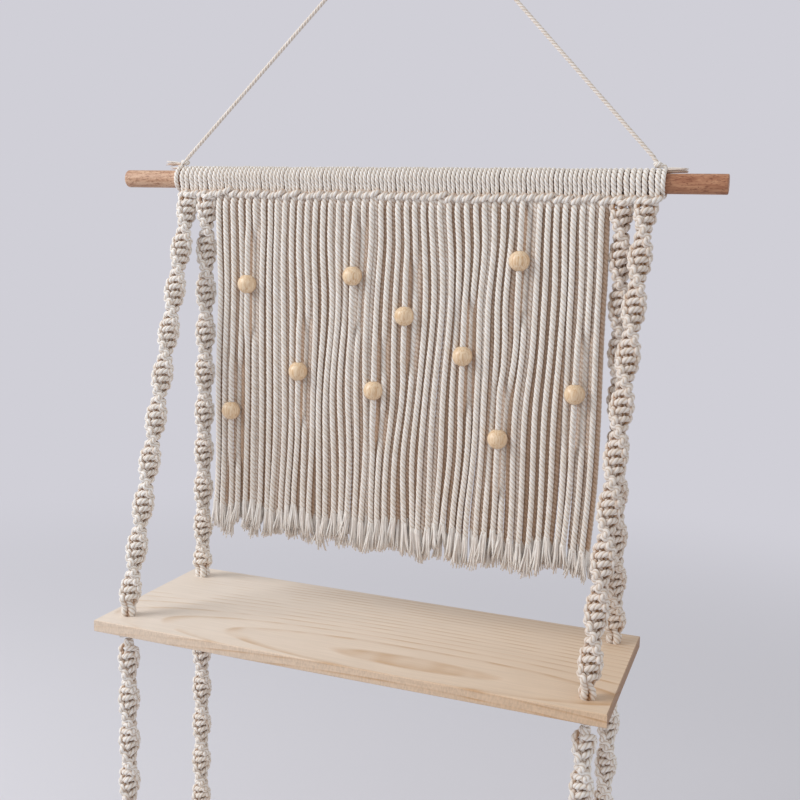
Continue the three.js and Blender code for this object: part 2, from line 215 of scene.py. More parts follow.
def makePiece(name, parts, material, body, replaced=()):
    # One mesh from all the parts, with a cord's fibre, groove and tone as attributes
    def joined(key):
        return np.concatenate([part[key] for part in parts])

    start, faces = 0, {}
    for part in parts:
        for block in part["faces"]:
            faces.setdefault(block.shape[1], []).append(block + start)
        start += len(part["points"])
    blocks = [np.concatenate(group) for group in faces.values()]
    corners = np.concatenate([block.reshape(-1) for block in blocks])
    sizes = np.concatenate([np.full(len(block), block.shape[1]) for block in blocks])
    mesh = bpy.data.meshes.new(name)
    mesh.vertices.add(start)
    mesh.vertices.foreach_set("co", placed(joined("points")).astype(np.float32).ravel())
    mesh.loops.add(len(corners))
    mesh.loops.foreach_set("vertex_index", corners.astype(np.int32))
    mesh.polygons.add(len(sizes))
    mesh.polygons.foreach_set("loop_start", (np.cumsum(sizes) - sizes).astype(np.int32))
    mesh.polygons.foreach_set("use_smooth", np.ones(len(sizes), bool))
    if "fibre" in parts[0]:
        fibre = mesh.attributes.new("fibre", "FLOAT_VECTOR", "POINT")
        fibre.data.foreach_set("vector", joined("fibre").astype(np.float32).ravel())
        for key in ("groove", "tone"):
            values = mesh.attributes.new(key, "FLOAT", "POINT")
            values.data.foreach_set("value", joined(key).astype(np.float32))
    mesh.update(calc_edges=True)
    mesh.validate()
    mesh.materials.append(material)
    piece = bpy.data.objects.new(name, mesh)
    bpy.context.scene.collection.objects.link(piece)
    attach(piece, body)
    if replaced:
        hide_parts(*replaced)
    return piece


def linear(colour):  # an sRGB hex value as linear light
    parts = [int(colour[i:i + 2], 16) / 255 for i in (1, 3, 5)]
    return (*[c / 12.92 if c <= 0.04045 else ((c + 0.055) / 1.055) ** 2.4 for c in parts], 1)


def newMaterial(name):
    material = bpy.data.materials.new(name)
    material.use_nodes = True
    tree = material.node_tree
    return material, tree, tree.nodes["Principled BSDF"]


def setInputs(tree, node, inputs):
    # A node is linked from its first output in use, a socket is linked as it is, and anything else is the value
    for key, value in inputs.items():
        if isinstance(value, bpy.types.Node):
            value = next(socket for socket in value.outputs if socket.enabled)
        if isinstance(value, bpy.types.NodeSocket):
            tree.links.new(value, node.inputs[key])
        else:
            node.inputs[key].default_value = value


def addNode(tree, kind, settings=None, inputs=None):
    node = tree.nodes.new("ShaderNode" + kind)
    for key, value in (settings or {}).items():
        setattr(node, key, value)
    setInputs(tree, node, inputs or {})
    return node


# In a colour Mix, inputs 0, 6 and 7 are its share and its two colours
mixing = {"data_type": "RGBA"}
multiplying = {"data_type": "RGBA", "blend_type": "MULTIPLY"}


def perMetre(sizes):  # how many grains of these sizes in mm go into a metre
    return [1000 / size for size in sizes]


def rampStops(node, stops):  # each stop is a place from 0 to 1 and its colour
    elements = node.color_ramp.elements
    while len(elements) < len(stops):
        elements.new(0.5)
    for element, (place, colour) in zip(elements, stops):
        element.position = place
        element.color = linear(colour)


def cottonCord():
    # Undyed cotton, laid from combed yarn: matt, with painted shade, warm brown, in its grooves and hollows, as where
    # light goes in and comes out again
    look = {
        # groove and deep are painted shade: groove in the grooves between strands, deep mostly in hollows that the
        # tone attribute marks
        "crest": "#F7F4F1", "shade": "#ECE6DF", "groove": "#C9B197", "deep": "#B98442",
        "yarn": 0.45, "streak": 6.0,  # mm: a yarn's width, and the length of a streak on it
        "cloud": 0.11,  # patches of shade to a millimetre
        "grooved": 0.66, "roughness": 0.92, "specular": 0.2, "sheen": 0.15, "sheenRoughness": 0.5,
    }
    material, tree, shader = newMaterial("undyed cotton cord")
    fibre, groove, tone = (addNode(tree, "Attribute", {"attribute_name": key}) for key in ("fibre", "groove", "tone"))
    stretched = addNode(tree, "VectorMath", {"operation": "MULTIPLY"},
                        {0: fibre.outputs["Vector"], 1: (1 / look["yarn"], 1 / look["yarn"], 1 / look["streak"])})
    threads = addNode(tree, "TexNoise", None, {"Vector": stretched, "Scale": 1.0, "Detail": 2.0, "Roughness": 0.6})
    cloud = addNode(tree, "TexNoise", None,
                    {"Vector": fibre.outputs["Vector"], "Scale": look["cloud"], "Detail": 1.0})
    clouded = addNode(tree, "MapRange", None, {"Value": cloud, "From Min": 0.35, "From Max": 0.7})
    body = addNode(tree, "Mix", mixing, {0: clouded, 6: linear(look["crest"]), 7: linear(look["shade"])})
    # Painted shade: browner and darker towards the groove between two strands
    lowered = addNode(tree, "MapRange", {"interpolation_type": "SMOOTHSTEP"},
                      {"Value": groove.outputs["Fac"], "From Min": 0.1, "To Max": look["grooved"]})
    grooved = addNode(tree, "Mix", mixing, {0: lowered, 6: body, 7: linear(look["groove"])})
    # Mostly painted shade, and low on the fringe painted warm light, multiplied in as far as the tone attribute says
    toned = addNode(tree, "Mix", multiplying, {0: tone.outputs["Fac"], 6: grooved, 7: linear(look["deep"])})
    threadShade = addNode(tree, "MapRange", None, {"Value": threads, "From Min": 0.3, "From Max": 0.7,
                           "To Min": 0.86, "To Max": 1.05})
    shaded = addNode(tree, "Mix", multiplying, {0: 1.0, 6: toned, 7: threadShade})
    bump = addNode(tree, "Bump", None, {"Strength": 0.4, "Distance": 0.0003, "Height": threads})
    setInputs(tree, shader, {
        "Base Color": shaded, "Normal": bump,
        "Roughness": look["roughness"], "Specular IOR Level": look["specular"],
        "Sheen Weight": look["sheen"], "Sheen Roughness": look["sheenRoughness"],
    })
    return material


def beechDowel():
    # Turned and sanded beech, bare: tan, with fine lengthwise figure and short darker rays, and ruddier and darker to
    # the right, partly the wood's own tone and partly painted shade
    look = {
        "pale": "#D6B498", "mid": "#C39C80", "dark": "#A97D63", "fleck": "#7E4E35", "rightToneAndShade": "#E6CCBA",
        "figure": (16.0, 2.0, 2.0), "ray": (3.4, 1.0, 1.0),  # mm along X, Y and Z
        "toneAndShadeSpan": (-0.25, 0.3),  # metres along X
        "roughness": 0.55,
    }
    material, tree, shader = newMaterial("sanded beech")
    place = addNode(tree, "TexCoord")
    along = addNode(tree, "VectorMath", {"operation": "MULTIPLY"},
                    {0: place.outputs["Object"], 1: perMetre(look["figure"])})
    figure = addNode(tree, "TexNoise", None, {"Vector": along, "Scale": 0.7, "Detail": 3.0, "Distortion": 0.8})
    ramp = addNode(tree, "ValToRGB", None, {0: figure})
    rampStops(ramp, [(0.3, look["dark"]), (0.5, look["mid"]), (0.72, look["pale"])])
    short = addNode(tree, "VectorMath", {"operation": "MULTIPLY"},
                    {0: place.outputs["Object"], 1: perMetre(look["ray"])})
    rays = addNode(tree, "TexNoise", None, {"Vector": short, "Scale": 1.0, "Detail": 1.5, "Distortion": 0.6})
    flecks = addNode(tree, "MapRange", None, {"Value": rays, "From Min": 0.55, "From Max": 0.64, "To Max": 0.75})
    flecked = addNode(tree, "Mix", mixing, {0: flecks, 6: ramp, 7: linear(look["fleck"])})
    split = addNode(tree, "SeparateXYZ", None, {0: place.outputs["Object"]})
    # Partly the wood's own tone and partly painted shade: darker and ruddier towards the right end
    rightward = addNode(tree, "MapRange", None,
                        {"Value": split.outputs["X"], "From Min": look["toneAndShadeSpan"][0], "From Max": look["toneAndShadeSpan"][1]})
    rightToneAndShade = addNode(tree, "Mix", multiplying, {0: rightward, 6: flecked, 7: linear(look["rightToneAndShade"])})
    bump = addNode(tree, "Bump", None, {"Strength": 0.15, "Distance": 0.0004, "Height": figure})
    setInputs(tree, shader, {"Base Color": rightToneAndShade, "Normal": bump, "Roughness": look["roughness"]})
    return material


def pineBoard():
    # Planed pine, flat sawn and bare: pale wood with soft growth rings, which close in ovals where the log swells
    # under the face, fine pores and a darker tone on the sawn edges and ends
    look = {
        "early": "#E6DACE", "mid": "#E2D5C8", "late": "#CAAC8B", "warm": "#F3E3CF",
        "edge": "#FDF4EA", "end": "#8A5E3C",
        "ring": 6.5, "wander": 0.6,  # mm from ring to ring, and how much they waver
        "heart": (0.068, -0.133, -0.7875), "swell": 0.2,  # the log's middle in metres, and how fast it thickens
        "patches": 26.0,  # to a metre, where the rings are fainter
        "grain": (45.0, 1.6, 1.6), "pore": (1.4, 1.4, 3.0),  # mm along X, Y and Z
        "fading": (-0.33, -0.1), "warming": (-0.2, 0.3),  # metres along X
        "roughness": 0.6,
    }
    material, tree, shader = newMaterial("planed pine")
    place = addNode(tree, "TexCoord")
    log = addNode(tree, "Mapping", None,
                  {"Vector": place.outputs["Object"], "Location": tuple(-v for v in look["heart"])})
    logSplit = addNode(tree, "SeparateXYZ", None, {0: log})
    square = addNode(tree, "Math", {"operation": "MULTIPLY"}, {0: logSplit.outputs["X"], 1: logSplit.outputs["X"]})
    swollen = addNode(tree, "Math", {"operation": "MULTIPLY_ADD"},
                      {0: square, 1: look["swell"], 2: logSplit.outputs["Z"]})
    inLog = addNode(tree, "CombineXYZ", None, {"X": logSplit.outputs["X"], "Y": logSplit.outputs["Y"], "Z": swollen})
    ringScale = 2 * math.pi / (20 * look["ring"] / 1000)  # the texture has a ring every 2 pi / 20 of a metre at 1
    rings = addNode(tree, "TexWave", {"wave_type": "RINGS", "rings_direction": "X", "wave_profile": "SAW"},
                    {"Vector": inLog, "Scale": ringScale, "Distortion": look["wander"],
                     "Detail": 2.0, "Detail Scale": 0.25, "Detail Roughness": 0.5})
    ramp = addNode(tree, "ValToRGB", None, {0: rings.outputs["Fac"]})
    rampStops(ramp, [(0.0, look["early"]), (0.66, look["mid"]), (0.91, look["late"]), (1.0, look["early"])])
    patches = addNode(tree, "TexNoise", None, {"Vector": inLog, "Scale": look["patches"], "Detail": 1.0})
    faint = addNode(tree, "MapRange", None, {"Value": patches, "From Min": 0.4, "From Max": 0.62,
                     "To Min": 0.7, "To Max": 0.1})
    leftward = addNode(tree, "MapRange", None,
                       {"Value": logSplit.outputs["X"], "From Min": look["fading"][0], "From Max": look["fading"][1],
                        "To Min": 0.45, "To Max": 0.0})
    fading = addNode(tree, "Math", {"operation": "ADD"}, {0: faint, 1: leftward})
    ringed = addNode(tree, "Mix", mixing, {0: fading, 6: ramp, 7: linear(look["mid"])})
    fine = addNode(tree, "VectorMath", {"operation": "MULTIPLY"},
                   {0: place.outputs["Object"], 1: perMetre(look["grain"])})
    grain = addNode(tree, "TexNoise", None, {"Vector": fine, "Scale": 1.0, "Detail": 2.0})
    soften = addNode(tree, "MapRange", None, {"Value": grain, "From Min": 0.3, "From Max": 0.7,
                      "To Min": 0.95, "To Max": 1.03})
    grained = addNode(tree, "Mix", multiplying, {0: 1.0, 6: ringed, 7: soften})
    split = addNode(tree, "SeparateXYZ", None, {0: place.outputs["Object"]})
    rightward = addNode(tree, "MapRange", None,
                        {"Value": split.outputs["X"], "From Min": look["warming"][0], "From Max": look["warming"][1]})
    warmed = addNode(tree, "Mix", multiplying, {0: rightward, 6: grained, 7: linear(look["warm"])})
    side = addNode(tree, "SeparateXYZ", None, {0: place.outputs["Normal"]})
    pores = addNode(tree, "VectorMath", {"operation": "MULTIPLY"},
                    {0: place.outputs["Object"], 1: perMetre(look["pore"])})
    poreNoise = addNode(tree, "TexNoise", None, {"Vector": pores, "Scale": 1.0, "Detail": 1.0})
    poreShade = addNode(tree, "MapRange", None,
                        {"Value": poreNoise, "From Min": 0.3, "From Max": 0.65, "To Min": 0.86})
    sawnColour = addNode(tree, "Mix", multiplying, {0: 1.0, 6: linear(look["edge"]), 7: poreShade})
    across = addNode(tree, "Math", {"operation": "ABSOLUTE"}, {0: side.outputs["Y"]})
    onEdge = addNode(tree, "MapRange", None, {"Value": across, "From Min": 0.4, "From Max": 0.8})
    edged = addNode(tree, "Mix", multiplying, {0: onEdge, 6: warmed, 7: sawnColour})
    endwise = addNode(tree, "Math", {"operation": "ABSOLUTE"}, {0: side.outputs["X"]})
    onEnd = addNode(tree, "MapRange", None, {"Value": endwise, "From Min": 0.4, "From Max": 0.8, "To Max": 0.75})
    ended = addNode(tree, "Mix", mixing, {0: onEnd, 6: edged, 7: linear(look["end"])})
    bump = addNode(tree, "Bump", None, {"Strength": 0.15, "Distance": 0.0003, "Height": grain})
    setInputs(tree, shader, {"Base Color": ended, "Normal": bump, "Roughness": look["roughness"]})
    return material


def turnedBead():
    # Pale hardwood turned on a lathe and left bare: smooth, with a faint line of grain and a soft sheen
    look = {"pale": "#EAD3B5", "dark": "#D0A97D", "grain": (0.8, 0.8, 9.0), "roughness": 0.36}  # grain in mm
    material, tree, shader = newMaterial("turned pale wood")
    place = addNode(tree, "TexCoord")
    along = addNode(tree, "VectorMath", {"operation": "MULTIPLY"},
                    {0: place.outputs["Object"], 1: perMetre(look["grain"])})
    grain = addNode(tree, "TexNoise", None, {"Vector": along, "Scale": 0.6, "Detail": 2.0, "Distortion": 0.4})
    ramp = addNode(tree, "ValToRGB", None, {0: grain})
    rampStops(ramp, [(0.3, look["dark"]), (0.6, look["pale"])])
    setInputs(tree, shader, {"Base Color": ramp, "Roughness": look["roughness"]})
    return material


cotton, beech, pine, beadWood = cottonCord(), beechDowel(), pineBoard(), turnedBead()
print("materials made")

# The row along the dowel: 47 knots in groups that swing together, and two knots of each rope at its ends
row = {"pitch": 8.6, "shift": 7.0, "ropePitch": 11.0, "groups": [6, 4, 3, 4, 3, 3, 3, 4, 5, 4, 4, 4]}
fringeKnots = sum(row["groups"])
rowEnds = row["shift"] + np.array([-0.5, 0.5]) * fringeKnots * row["pitch"]
knotX = rowEnds[0] + (np.arange(fringeKnots) + 0.5) * row["pitch"]

# The cord that the shelf hangs by
hanger = {
    "diameter": 4.0, "hook": (4.0, 25.0, 270.0), "hookDiameter": 12.0, "lead": 12.0, "step": 1.3, "tone": 0.12,
    "ringGap": 2.15, "lean": (1.0, 7.0), "knotHeight": 18.8, "knotWidth": 11.0,
    "stations": (24, 13),  # along each side, and over the hook
}
ringX = rowEnds + np.array([-1, 1]) * (4 * row["ropePitch"] + hanger["ringGap"])
hangerKnotX = ringX + np.array([1, -1]) * hanger["lean"]


def hangerLine():
    # Straight from one knot to the hook's side, round over the hook, and straight down to the other knot
    radius = (hanger["hookDiameter"] + hanger["diameter"]) / 2
    hook = np.array(hanger["hook"]) - [0, 0, hanger["hookDiameter"] / 2]
    runs, meets = [], []
    for x in hangerKnotX:
        knot = np.array([x, 0, hanger["knotHeight"]])
        rise = unit(hook - knot)
        out = unit(np.array([-np.sign(rise[0]) * rise[2], 0, abs(rise[0])]))
        meets.append(hook + out * radius)
        runs.append(knot + rise * (hanger["knotWidth"] / 2 + clearance))
    over = (meets[0] + meets[1]) / 2
    over[2] = 2 * (hook[2] + radius) - over[2]
    t = np.linspace(0, 1, hanger["stations"][1])[:, None]
    bend = (1 - t) ** 2 * meets[0] + 2 * t * (1 - t) * over + t**2 * meets[1]
    count = np.linspace(0, 1, hanger["stations"][0])[:, None]
    first = runs[0] + (meets[0] - runs[0]) * count
    second = meets[1] + (runs[1] - meets[1]) * count
    return np.vstack([first[:-1], bend, second[1:]])


line = smoothLine(hangerLine(), hanger["step"])
hangingCord = makePiece("hanging_cord_twisted",
                        [ropeTube(line, hanger["diameter"] / 2, tone=hanger["tone"], lead=hanger["lead"])],
                        cotton, "hanger", ["hanging_cord"])
print("hanging cord made")

# Lark's head knots on the dowel
larksHead = {
    "side": 2.15, "reach": 11.45, "radius": 2.5, "squeeze": 0.81, "step": 1.5, "lead": 13.0, "seed": 3,
    "uneven": (0.3, 0.35, 0.95), "wander": 0.2,  # how far the bar and the whole knot stray
    "lean": 0.9, "leanHeights": (4, -9),  # the knot's foot stands this much to one side of its top
    "plump": 0.2, "plumpDepths": (11.8, 14.0),  # the bar is thicker than the legs
    # From the front, over the top: degrees round the dowel's axis
    "legAngles": [-20, 5, 32, 60, 90, 120, 148, 176, 204, 232, 256],
    # The strand's start behind the bar, with X in half widths
    "start": [(-0.7, -11.0, -19.5), (-0.8, -10.6, -14.0), (-0.9, -10.7, -8.6)],
    # The bar in front, from under the dowel, low on the left, to under the dowel on the right
    "bar": [(-3.0, -6.4, -12.6), (-4.3, -10.6, -15.4), (-3.0, -14.2, -16.6), (0, -15.3, -15.2),
            (3.0, -14.6, -13.6), (4.3, -11.4, -12.6), (3.2, -7.0, -12.2)],
}


def dowelMiddle(places):  # the nearest places on the dowel's axis
    return places * [1, 0, 0]


def headPath(width, reach, barShift):
    # Up behind the bar, over the dowel, down its back, forward under it and across as the bar, and back the same way
    angle = np.radians(larksHead["legAngles"])
    leg = np.stack([np.full(len(angle), -width), -reach * np.cos(angle), reach * np.sin(angle)], axis=-1)
    start = np.array(larksHead["start"]) * [width, 1, 1]
    bar = np.array(larksHead["bar"]) * [width / larksHead["side"], 1, 1]
    bar[1:-1] += barShift
    mirror = [-1, 1, 1]
    return np.vstack([start, leg, bar, leg[::-1] * mirror, start[::-1] * mirror])


def headsAt(places, width, reach, radius, squeeze, seed):
    # One cord to a knot: its path strays a little and leans, and the cord is thicker where it comes to the front
    rng = np.random.default_rng(seed)
    parts = []
    for x in places:
        barShift = rng.normal(0, 1, 3) * larksHead["uneven"]
        path = headPath(width, reach, barShift) + rng.normal(0, larksHead["wander"], 3)
        path = smoothLine(path, larksHead["step"]) + [x, 0, 0]
        path[:, 0] += larksHead["lean"] * (smoothStep(*larksHead["leanHeights"], path[:, 2]) - 0.5)
        radii = radius * (1 + larksHead["plump"] * smoothStep(*larksHead["plumpDepths"], -path[:, 1]))
        # The side that faces the dowel's axis gets painted shade
        parts.append(ropeTube(path, radii, flatten=(squeeze, 1, 1), phase=rng.uniform(0, 6.28),
                              lead=larksHead["lead"], heart=dowelMiddle))
    return parts


rowHeads = headsAt(knotX, *(larksHead[key] for key in ("side", "reach", "radius", "squeeze", "seed")))
makePiece("fringe_larks_heads", rowHeads, cotton, "hanger", ["fringe_knot_row"])
print("lark's head row made")

# Fringe: two strands from each knot, in front and behind
fringe = {
    "length": 348.0, "uneven": 5.0, "cut": 15.0, "step": 1.7, "seed": 11,
    "top": (-11.26, -13.91), "bend": 14.0,  # a strand leaves its knot at this Y and Z, and has spread out by the bend
    "radius": 2.9, "rearRadius": 3.25, "thin": 0.5,  # thin: how much of the radius its end loses inside the fray
    "front": (-1.5, -14.5), "rear": (0.7, -8.5),  # a strand's place beside its knot's middle, X and Y
    "rearDrift": 0.006,  # each rear strand is further out than its knot
    "openFront": (-0.8, 0.0), "openRear": (0.9, -2.5), "openPower": 1.3,  # how far apart an open knot's strands are
    "firstGap": 0.8,  # the first strands keep off the rope beside them
    "swayGrows": 110.0, "own": 0.55, "ownWave": (45, 110), "ownDepth": 0.6,  # own: a strand's sway by itself
    "tip": 0.7, "tipFrom": 235.0,
    "sight": (364.0, 965.0),  # X and -Y of the place that strands are pushed away from, so that no gap opens
}
sway = {"waves": 5, "across": (60, 160), "down": (180, 420), "reach": (0.45, 0.9)}
# Painted shade inside the fringe, and painted warm light towards its lower end
shading = {"faces": (-17.4, -5.6), "inside": 0.64, "insideDepths": (2.4, 6.0), "low": 0.06, "lowDrops": (100, 330)}
beads = {
    "diameter": 19.5, "hole": 6.2, "slide": 30.0, "sides": 32, "arcRows": 22, "holeRows": 6,
    "knot": [2, 4, 11, 18, 21, 24, 31, 36, 37, 44],  # the knot whose front strand each bead is on
    "lean": (20, 170), "leanKnots": 5.0,  # the strands round a bead lean to it: mm up and down, and knots to the side
    "near": (8, 38), "wide": (8, 120), "gatherKnots": 4.0,  # and stand upright by it, past the bead's slide
    "underRow": (25, 65),
    "overlap": 2.2, "settles": 8,  # a strand behind a bead touches it by this much
}
beadPlaces = np.array([middleOf("bead_%02d" % (i + 1)) for i in range(len(beads["knot"]))])


def swayField(x, drop, rng):
    # A slow drift that neighbouring strands share: a sum of waves across the fringe and down it
    drift = np.zeros(drop.shape)
    for wave in range(sway["waves"]):
        across, down, start = rng.uniform(*sway["across"]), rng.uniform(*sway["down"]), rng.uniform(0, 2 * np.pi)
        drift += rng.uniform(*sway["reach"]) * np.sin(2 * np.pi * (x / across + drop / down) + start)
    return drift


def passBeads(knots, front, x, y, z):
    # Moves the strands, in place, to run through or behind the beads, and returns how far each was pushed back
    slide, reach = beads["slide"], beads["diameter"] / 2 + fringe["radius"] - beads["overlap"]
    away = np.abs(z[None] - beadPlaces[:, 2, None, None])
    near, wide = (1 - smoothStep(slide + low, slide + high, away) for low, high in (beads["near"], beads["wide"]))
    gathered = np.maximum(near, wide * smoothStep(*beads["underRow"], -z))
    apart = knots[None] - np.array(beads["knot"])[:, None]
    owns = (apart == 0) & front
    recess = np.zeros(y.shape)
    for i, (bx, by, bz) in enumerate(beadPlaces):
        # The strands round each bead lean together, over a long way, until the bead's own strand meets it
        short = bx - np.interp(-bz, -z[owns[i]][0], x[owns[i]][0])
        level = 1 - smoothStep(*beads["lean"], away[i])
        x += short * np.exp(-(apart[i] / beads["leanKnots"]) ** 2)[:, None] * level
    for i, (bx, by, bz) in enumerate(beadPlaces):
        x += (bx - x[owns[i]]) * gathered[i] * np.exp(-(apart[i] / beads["gatherKnots"]) ** 2)[:, None]
    for i, (bx, by, bz) in enumerate(beadPlaces):
        # The bead's own strand runs through its middle, and the others are pushed back until they pass behind it
        own = owns[i]
        x[own] += (bx - x[own]) * near[i][own]
        y[own] += (by - y[own]) * near[i][own]
        push, sight = np.zeros(x.shape), (fringe["sight"][0] - bx) / fringe["sight"][1]
        for settle in range(beads["settles"]):
            aside = np.minimum(np.abs(x - sight * push - bx), reach)
            behind = np.maximum(by + np.sqrt(reach**2 - aside**2) - y, 0) * near[i]
            push = 0.5 * (push + np.where(own[:, None], 0, behind) * (aside < reach))
        x -= sight * push
        y += push
        recess += push
    return recess


def fringePaths():
    # One row for each strand (front and rear by turns): down from its knot, with a slow sway, clear of the beads
    rng = np.random.default_rng(fringe["seed"])
    knots = np.repeat(np.arange(fringeKnots), 2)
    front = np.arange(len(knots)) % 2 == 0
    uneven = np.where(front, np.sin(knots), np.cos(knots * knots))
    lengths = fringe["length"] + fringe["uneven"] * uneven - fringe["cut"]
    drop = np.linspace(0, 1, int(fringe["length"] / fringe["step"]))[None] * lengths[:, None]
    z = fringe["top"][1] - drop
    opened = np.repeat(rng.random(fringeKnots) ** fringe["openPower"], 2)[:, None]
    place = np.where(front[:, None], fringe["front"], fringe["rear"])
    place = place + opened * np.where(front[:, None], fringe["openFront"], fringe["openRear"])
    place[:, 0] += np.where(front, 0, fringe["rearDrift"] * knotX[knots])
    grown = smoothStep(0, fringe["swayGrows"], drop)
    middle = (knotX[knots] + np.where(knots == 0, fringe["firstGap"], 0))[:, None]
    sideAndDepth = (2, len(knots), 1)
    wave = rng.uniform(*fringe["ownWave"], sideAndDepth)
    own = rng.normal(0, fringe["own"], sideAndDepth) * np.sin(drop / wave + rng.uniform(0, 6.28, sideAndDepth))
    own += rng.normal(0, fringe["tip"], sideAndDepth) * smoothStep(fringe["tipFrom"], fringe["length"], drop)
    x = middle + place[:, :1] + (swayField(middle, drop, rng) + own[0]) * grown
    spread = (place[:, 1:] - fringe["top"][0]) * smoothStep(0, fringe["bend"], drop)
    y = fringe["top"][0] + spread + own[1] * grown * fringe["ownDepth"]
    recess = passBeads(knots, front, x, y, z)
    return knots, np.stack([x, y, z], axis=-1), recess


def shadeFringe(part, recess):
    # Painted shade: the inside of the fringe, where the strands shade each other, is toned warmer and darker than its
    # front and back; and painted warm light, as from the board below, makes its lower end a little warmer than its
    # top
    low, high = shading["faces"]
    inward = part["points"][:, 1].reshape(recess.size, -1) - recess.reshape(-1, 1)
    inside = smoothStep(*shading["insideDepths"], np.minimum(inward - low, high - inward)).reshape(-1)
    below = smoothStep(*shading["lowDrops"], -part["points"][:, 2])
    part["tone"] = np.clip(part["tone"] + shading["inside"] * inside + shading["low"] * below, 0, 1)
    return part


# Frayed ends of strands
fray = {
    "length": 23.0, "lengthShares": (0.6, 1.1), "within": 10.0,  # within: the yarns start this far up the strand
    "locks": 3, "yarns": 7, "yarnRadius": 0.98, "radiusShares": (0.85, 1.15), "taper": 0.45,
    "root": 0.42,  # of the strand's radius: a lock's place and size where it leaves the lay
    "open": 3.3, "openShares": (0.2, 1.3), "fan": 2.3, "fanShares": (0.5, 1.3),  # mm: locks, and yarns in one
    "bend": 1.9, "wander": 0.35, "endShares": (0.8, 1.06), "stations": 7, "seed": 5,
    "lateness": (1.4, 1.6, 1.5),  # powers: how late the locks part, their yarns fan out and all of them bend
    "inside": 0.34, "speckle": 0.06,  # painted shade, warm, on the inner yarns, and pale outer ones; speckle: a random tone
    "turn": 2.399963,  # radians from yarn to yarn, so that they fill the lock evenly
}


def frayedEnd(end, radius, rng, length):
    # A cut strand's three locks, which leave the lay and fan out, each a bunch of soft yarns round its own middle
    locks, yarns, root = fray["locks"], fray["yarns"], fray["root"] * radius
    parting, fanning, bending = fray["lateness"]
    lock = np.repeat(np.arange(locks), yarns)
    number = np.tile(np.arange(yarns), locks)
    count = len(lock)
    t = np.linspace(0, 1, fray["stations"])[None]
    heading = (rng.uniform(0, 6.28) + lock * 2 * np.pi / locks)[:, None]
    turn = (number * fray["turn"])[:, None] + rng.uniform(0, 6.28, (locks, 1))[lock]
    ring = np.sqrt((number + 0.3) / yarns)[:, None]
    openness = fray["open"] * rng.uniform(*fray["openShares"], (locks, 1))[lock]
    middle = root + openness * t**parting
    around = ring * (root + fray["fan"] * rng.uniform(*fray["fanShares"], (count, 1)) * t**fanning)
    bend = rng.normal(0, fray["bend"], (2, 1, 1)) * t**bending
    bend = bend + rng.normal(0, fray["wander"], (2, count, 1)) * np.sin(5 * t + heading)
    x = np.cos(heading) * middle + np.cos(turn) * around + bend[0]
    y = np.sin(heading) * middle + np.sin(turn) * around + bend[1]
    z = fray["within"] - (length + fray["within"]) * rng.uniform(*fray["endShares"], (count, 1)) * t
    radii = fray["yarnRadius"] * (1 - fray["taper"] * t**2) * rng.uniform(*fray["radiusShares"], (count, 1))
    # Painted shade on the yarns in a lock's middle, and a random speckle of tone
    tone = fray["inside"] * (1 - ring[:, 0]) + rng.uniform(0, fray["speckle"], count)
    return yarnTube(end + np.stack([x, y, z], axis=-1), radii, tone)


knots, strandPaths, strandRecess = fringePaths()
firstKnot = 0
frayRng = np.random.default_rng(fray["seed"])
for group, count in enumerate(row["groups"]):
    chosen = (knots >= firstKnot) & (knots < firstKnot + count)
    paths = strandPaths[chosen]
    toEnd = np.linspace(0, 1, paths.shape[1])[None] * fringe["length"]
    thickness = np.tile([fringe["radius"], fringe["rearRadius"]], count)[:, None]
    radii = thickness * (1 - fringe["thin"] * smoothStep(fringe["length"] - fray["within"], fringe["length"], toEnd))
    parts = [shadeFringe(ropeTube(paths, radii, phase=frayRng.uniform(0, 6.28, len(paths))), strandRecess[chosen])]
    for path in paths:
        frayLength = fray["length"] * frayRng.uniform(*fray["lengthShares"])
        parts.append(frayedEnd(path[-1], fringe["radius"], frayRng, frayLength))
    name = "fringe_%02d" % (group + 1)
    makePiece(name + "_strands", parts, cotton, name + "_bundle", [name])
    firstKnot += count
print("fringe made")


def turnedRound():
    # A bead round its own middle: a circle's arc carried round the strand, with the hole's wall as its inner side
    radius, hole, sides = beads["diameter"] / 2, beads["hole"] / 2, beads["sides"]
    rise = math.asin(hole / radius)
    arc = np.linspace(rise, math.pi - rise, beads["arcRows"])
    outer = np.stack([radius * np.sin(arc), -radius * np.cos(arc)], axis=-1)
    wall = np.linspace(outer[-1, 1], outer[0, 1], beads["holeRows"] + 2)[1:-1]
    profile = np.vstack([outer, np.stack([np.full(len(wall), hole), wall], axis=-1)])
    angle = np.arange(sides) / sides * 2 * np.pi
    ring = np.stack([np.cos(angle), np.sin(angle)], axis=-1)
    levels = np.broadcast_to(profile[:, None, 1:], (len(profile), sides, 1))
    points = np.concatenate([profile[:, None, :1] * ring[None], levels], axis=-1)
    r = np.arange(len(profile))[:, None] * sides
    following = np.roll(r, -1, axis=0)  # the last ring joins the first
    c = np.arange(sides)[None]
    n = (c + 1) % sides
    quads = np.stack([r + c, r + n, following + n, following + c], axis=-1)
    return points.reshape(-1, 3), quads.reshape(-1, 4)


beadPoints, beadQuads = turnedRound()
for i, place in enumerate(beadPlaces):
    name = "bead_%02d" % (i + 1)
    makePiece(name + "_turned", [{"points": beadPoints + place, "faces": [beadQuads]}],
              beadWood, name, [name])
print("beads made")

# Twisted ropes of half knots
sennit = {
    "pitch": 7.4, "turn": 30.0, "radius": 2.95, "filler": 1.9, "step": 1.2, "lead": 12.0, "diameter": 22.0,
    "fillerStations": 3, "swellDrop": 6,  # to a knot; and mm below the foot, where the cords have swollen
    "above": 1.0, "short": 1.5,  # the cords start this far above the top, and end this far before the foot
    # From the front of one knot round its right side to the back of the next: across, to the front, down
    "crossing": [(0, 4.8, 0), (3.6, 4.2, -0.4), (6.4, 1.6, 0.0), (8.2, -0.3, 2.2), (8.4, 1.2, 4.4),
                 (7.2, 4.2, 6.6), (6.0, 3.4, 8.9), (5.2, 0.2, 9.9), (3.9, -3.6, 8.8)],
}


